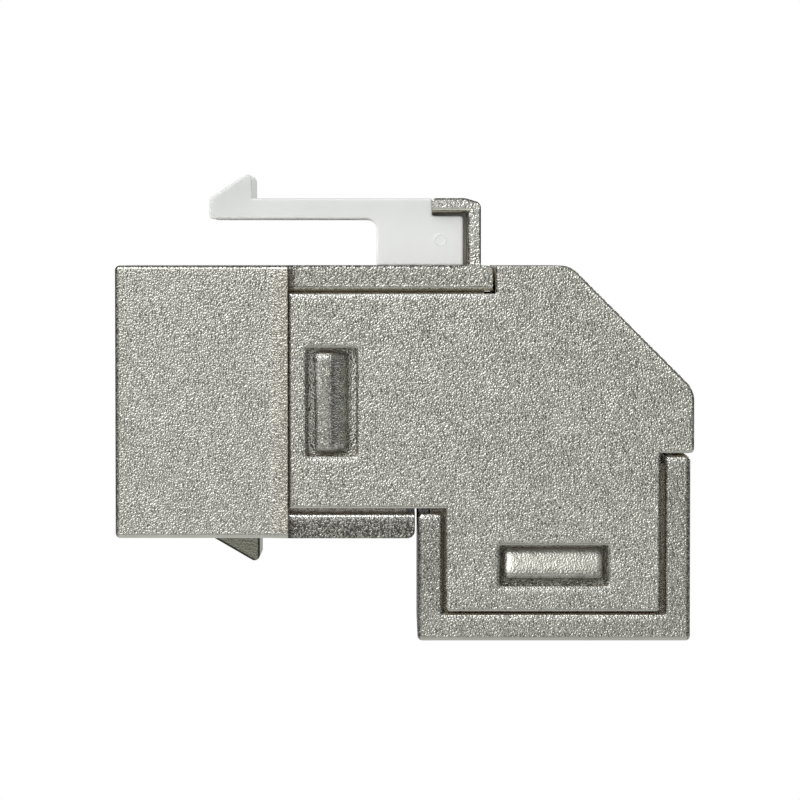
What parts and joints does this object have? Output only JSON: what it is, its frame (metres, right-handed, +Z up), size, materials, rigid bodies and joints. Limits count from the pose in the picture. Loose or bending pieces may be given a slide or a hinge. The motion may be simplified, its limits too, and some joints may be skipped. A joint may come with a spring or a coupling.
{
  "type": "keystone coupler",
  "caption": "Right-angle shielded keystone coupler: a forward and a downward modular port in plated die-cast shells, closed by an elbow cover, with a springy plastic snap latch.",
  "frame": {"origin": "on the plane of the front port's face, at the middle of the face's outline", "axes": "+X from the front face into the coupler, the way a plug goes in; Y across the width; +Z up, towards the release latch"},
  "size_m": [0.0341, 0.0152, 0.0275],
  "materials": {
    "plated_zinc": "bright nickel plate over a coarse sparkling cast grain",
    "latch_plastic": "white moulded plastic, slightly translucent",
    "carrier_plastic": "black moulded plastic",
    "contact_gold": "gold-plated spring strip",
    "spring_metal": "rolled nickel-plated spring strip",
    "circuit_board": "green lacquered laminate"
  },
  "bodies": {
    "coupler_body": {"front_shell": "plated_zinc", "lower_shell": "plated_zinc", "elbow_cover": "plated_zinc", "latch_foot": "latch_plastic", "front_contact_carrier": "carrier_plastic", "lower_contact_carrier": "carrier_plastic", "front_contact_1": "contact_gold", "front_contact_2": "contact_gold", "front_contact_3": "contact_gold", "front_contact_4": "contact_gold", "front_contact_5": "contact_gold", "front_contact_6": "contact_gold", "front_contact_7": "contact_gold", "front_contact_8": "contact_gold", "lower_contact_1": "contact_gold", "lower_contact_2": "contact_gold", "lower_contact_3": "contact_gold", "lower_contact_4": "contact_gold", "lower_contact_5": "contact_gold", "lower_contact_6": "contact_gold", "lower_contact_7": "contact_gold", "lower_contact_8": "contact_gold", "front_shield_spring_left": "spring_metal", "front_shield_spring_right": "spring_metal", "lower_shield_spring_left": "spring_metal", "lower_shield_spring_right": "spring_metal", "circuit_board": "circuit_board"},
    "latch_arm": {"latch_arm": "latch_plastic"}
  },
  "joints": [
    {"name": "latch_flex", "type": "hinge", "parent": "coupler_body", "child": "latch_arm", "pos_m": [0.0146, 0, 0.01082], "axis": [0, -1, 0], "range_deg": [0, 12], "stiffness_Nm_per_rad": 0.94}
  ]
}
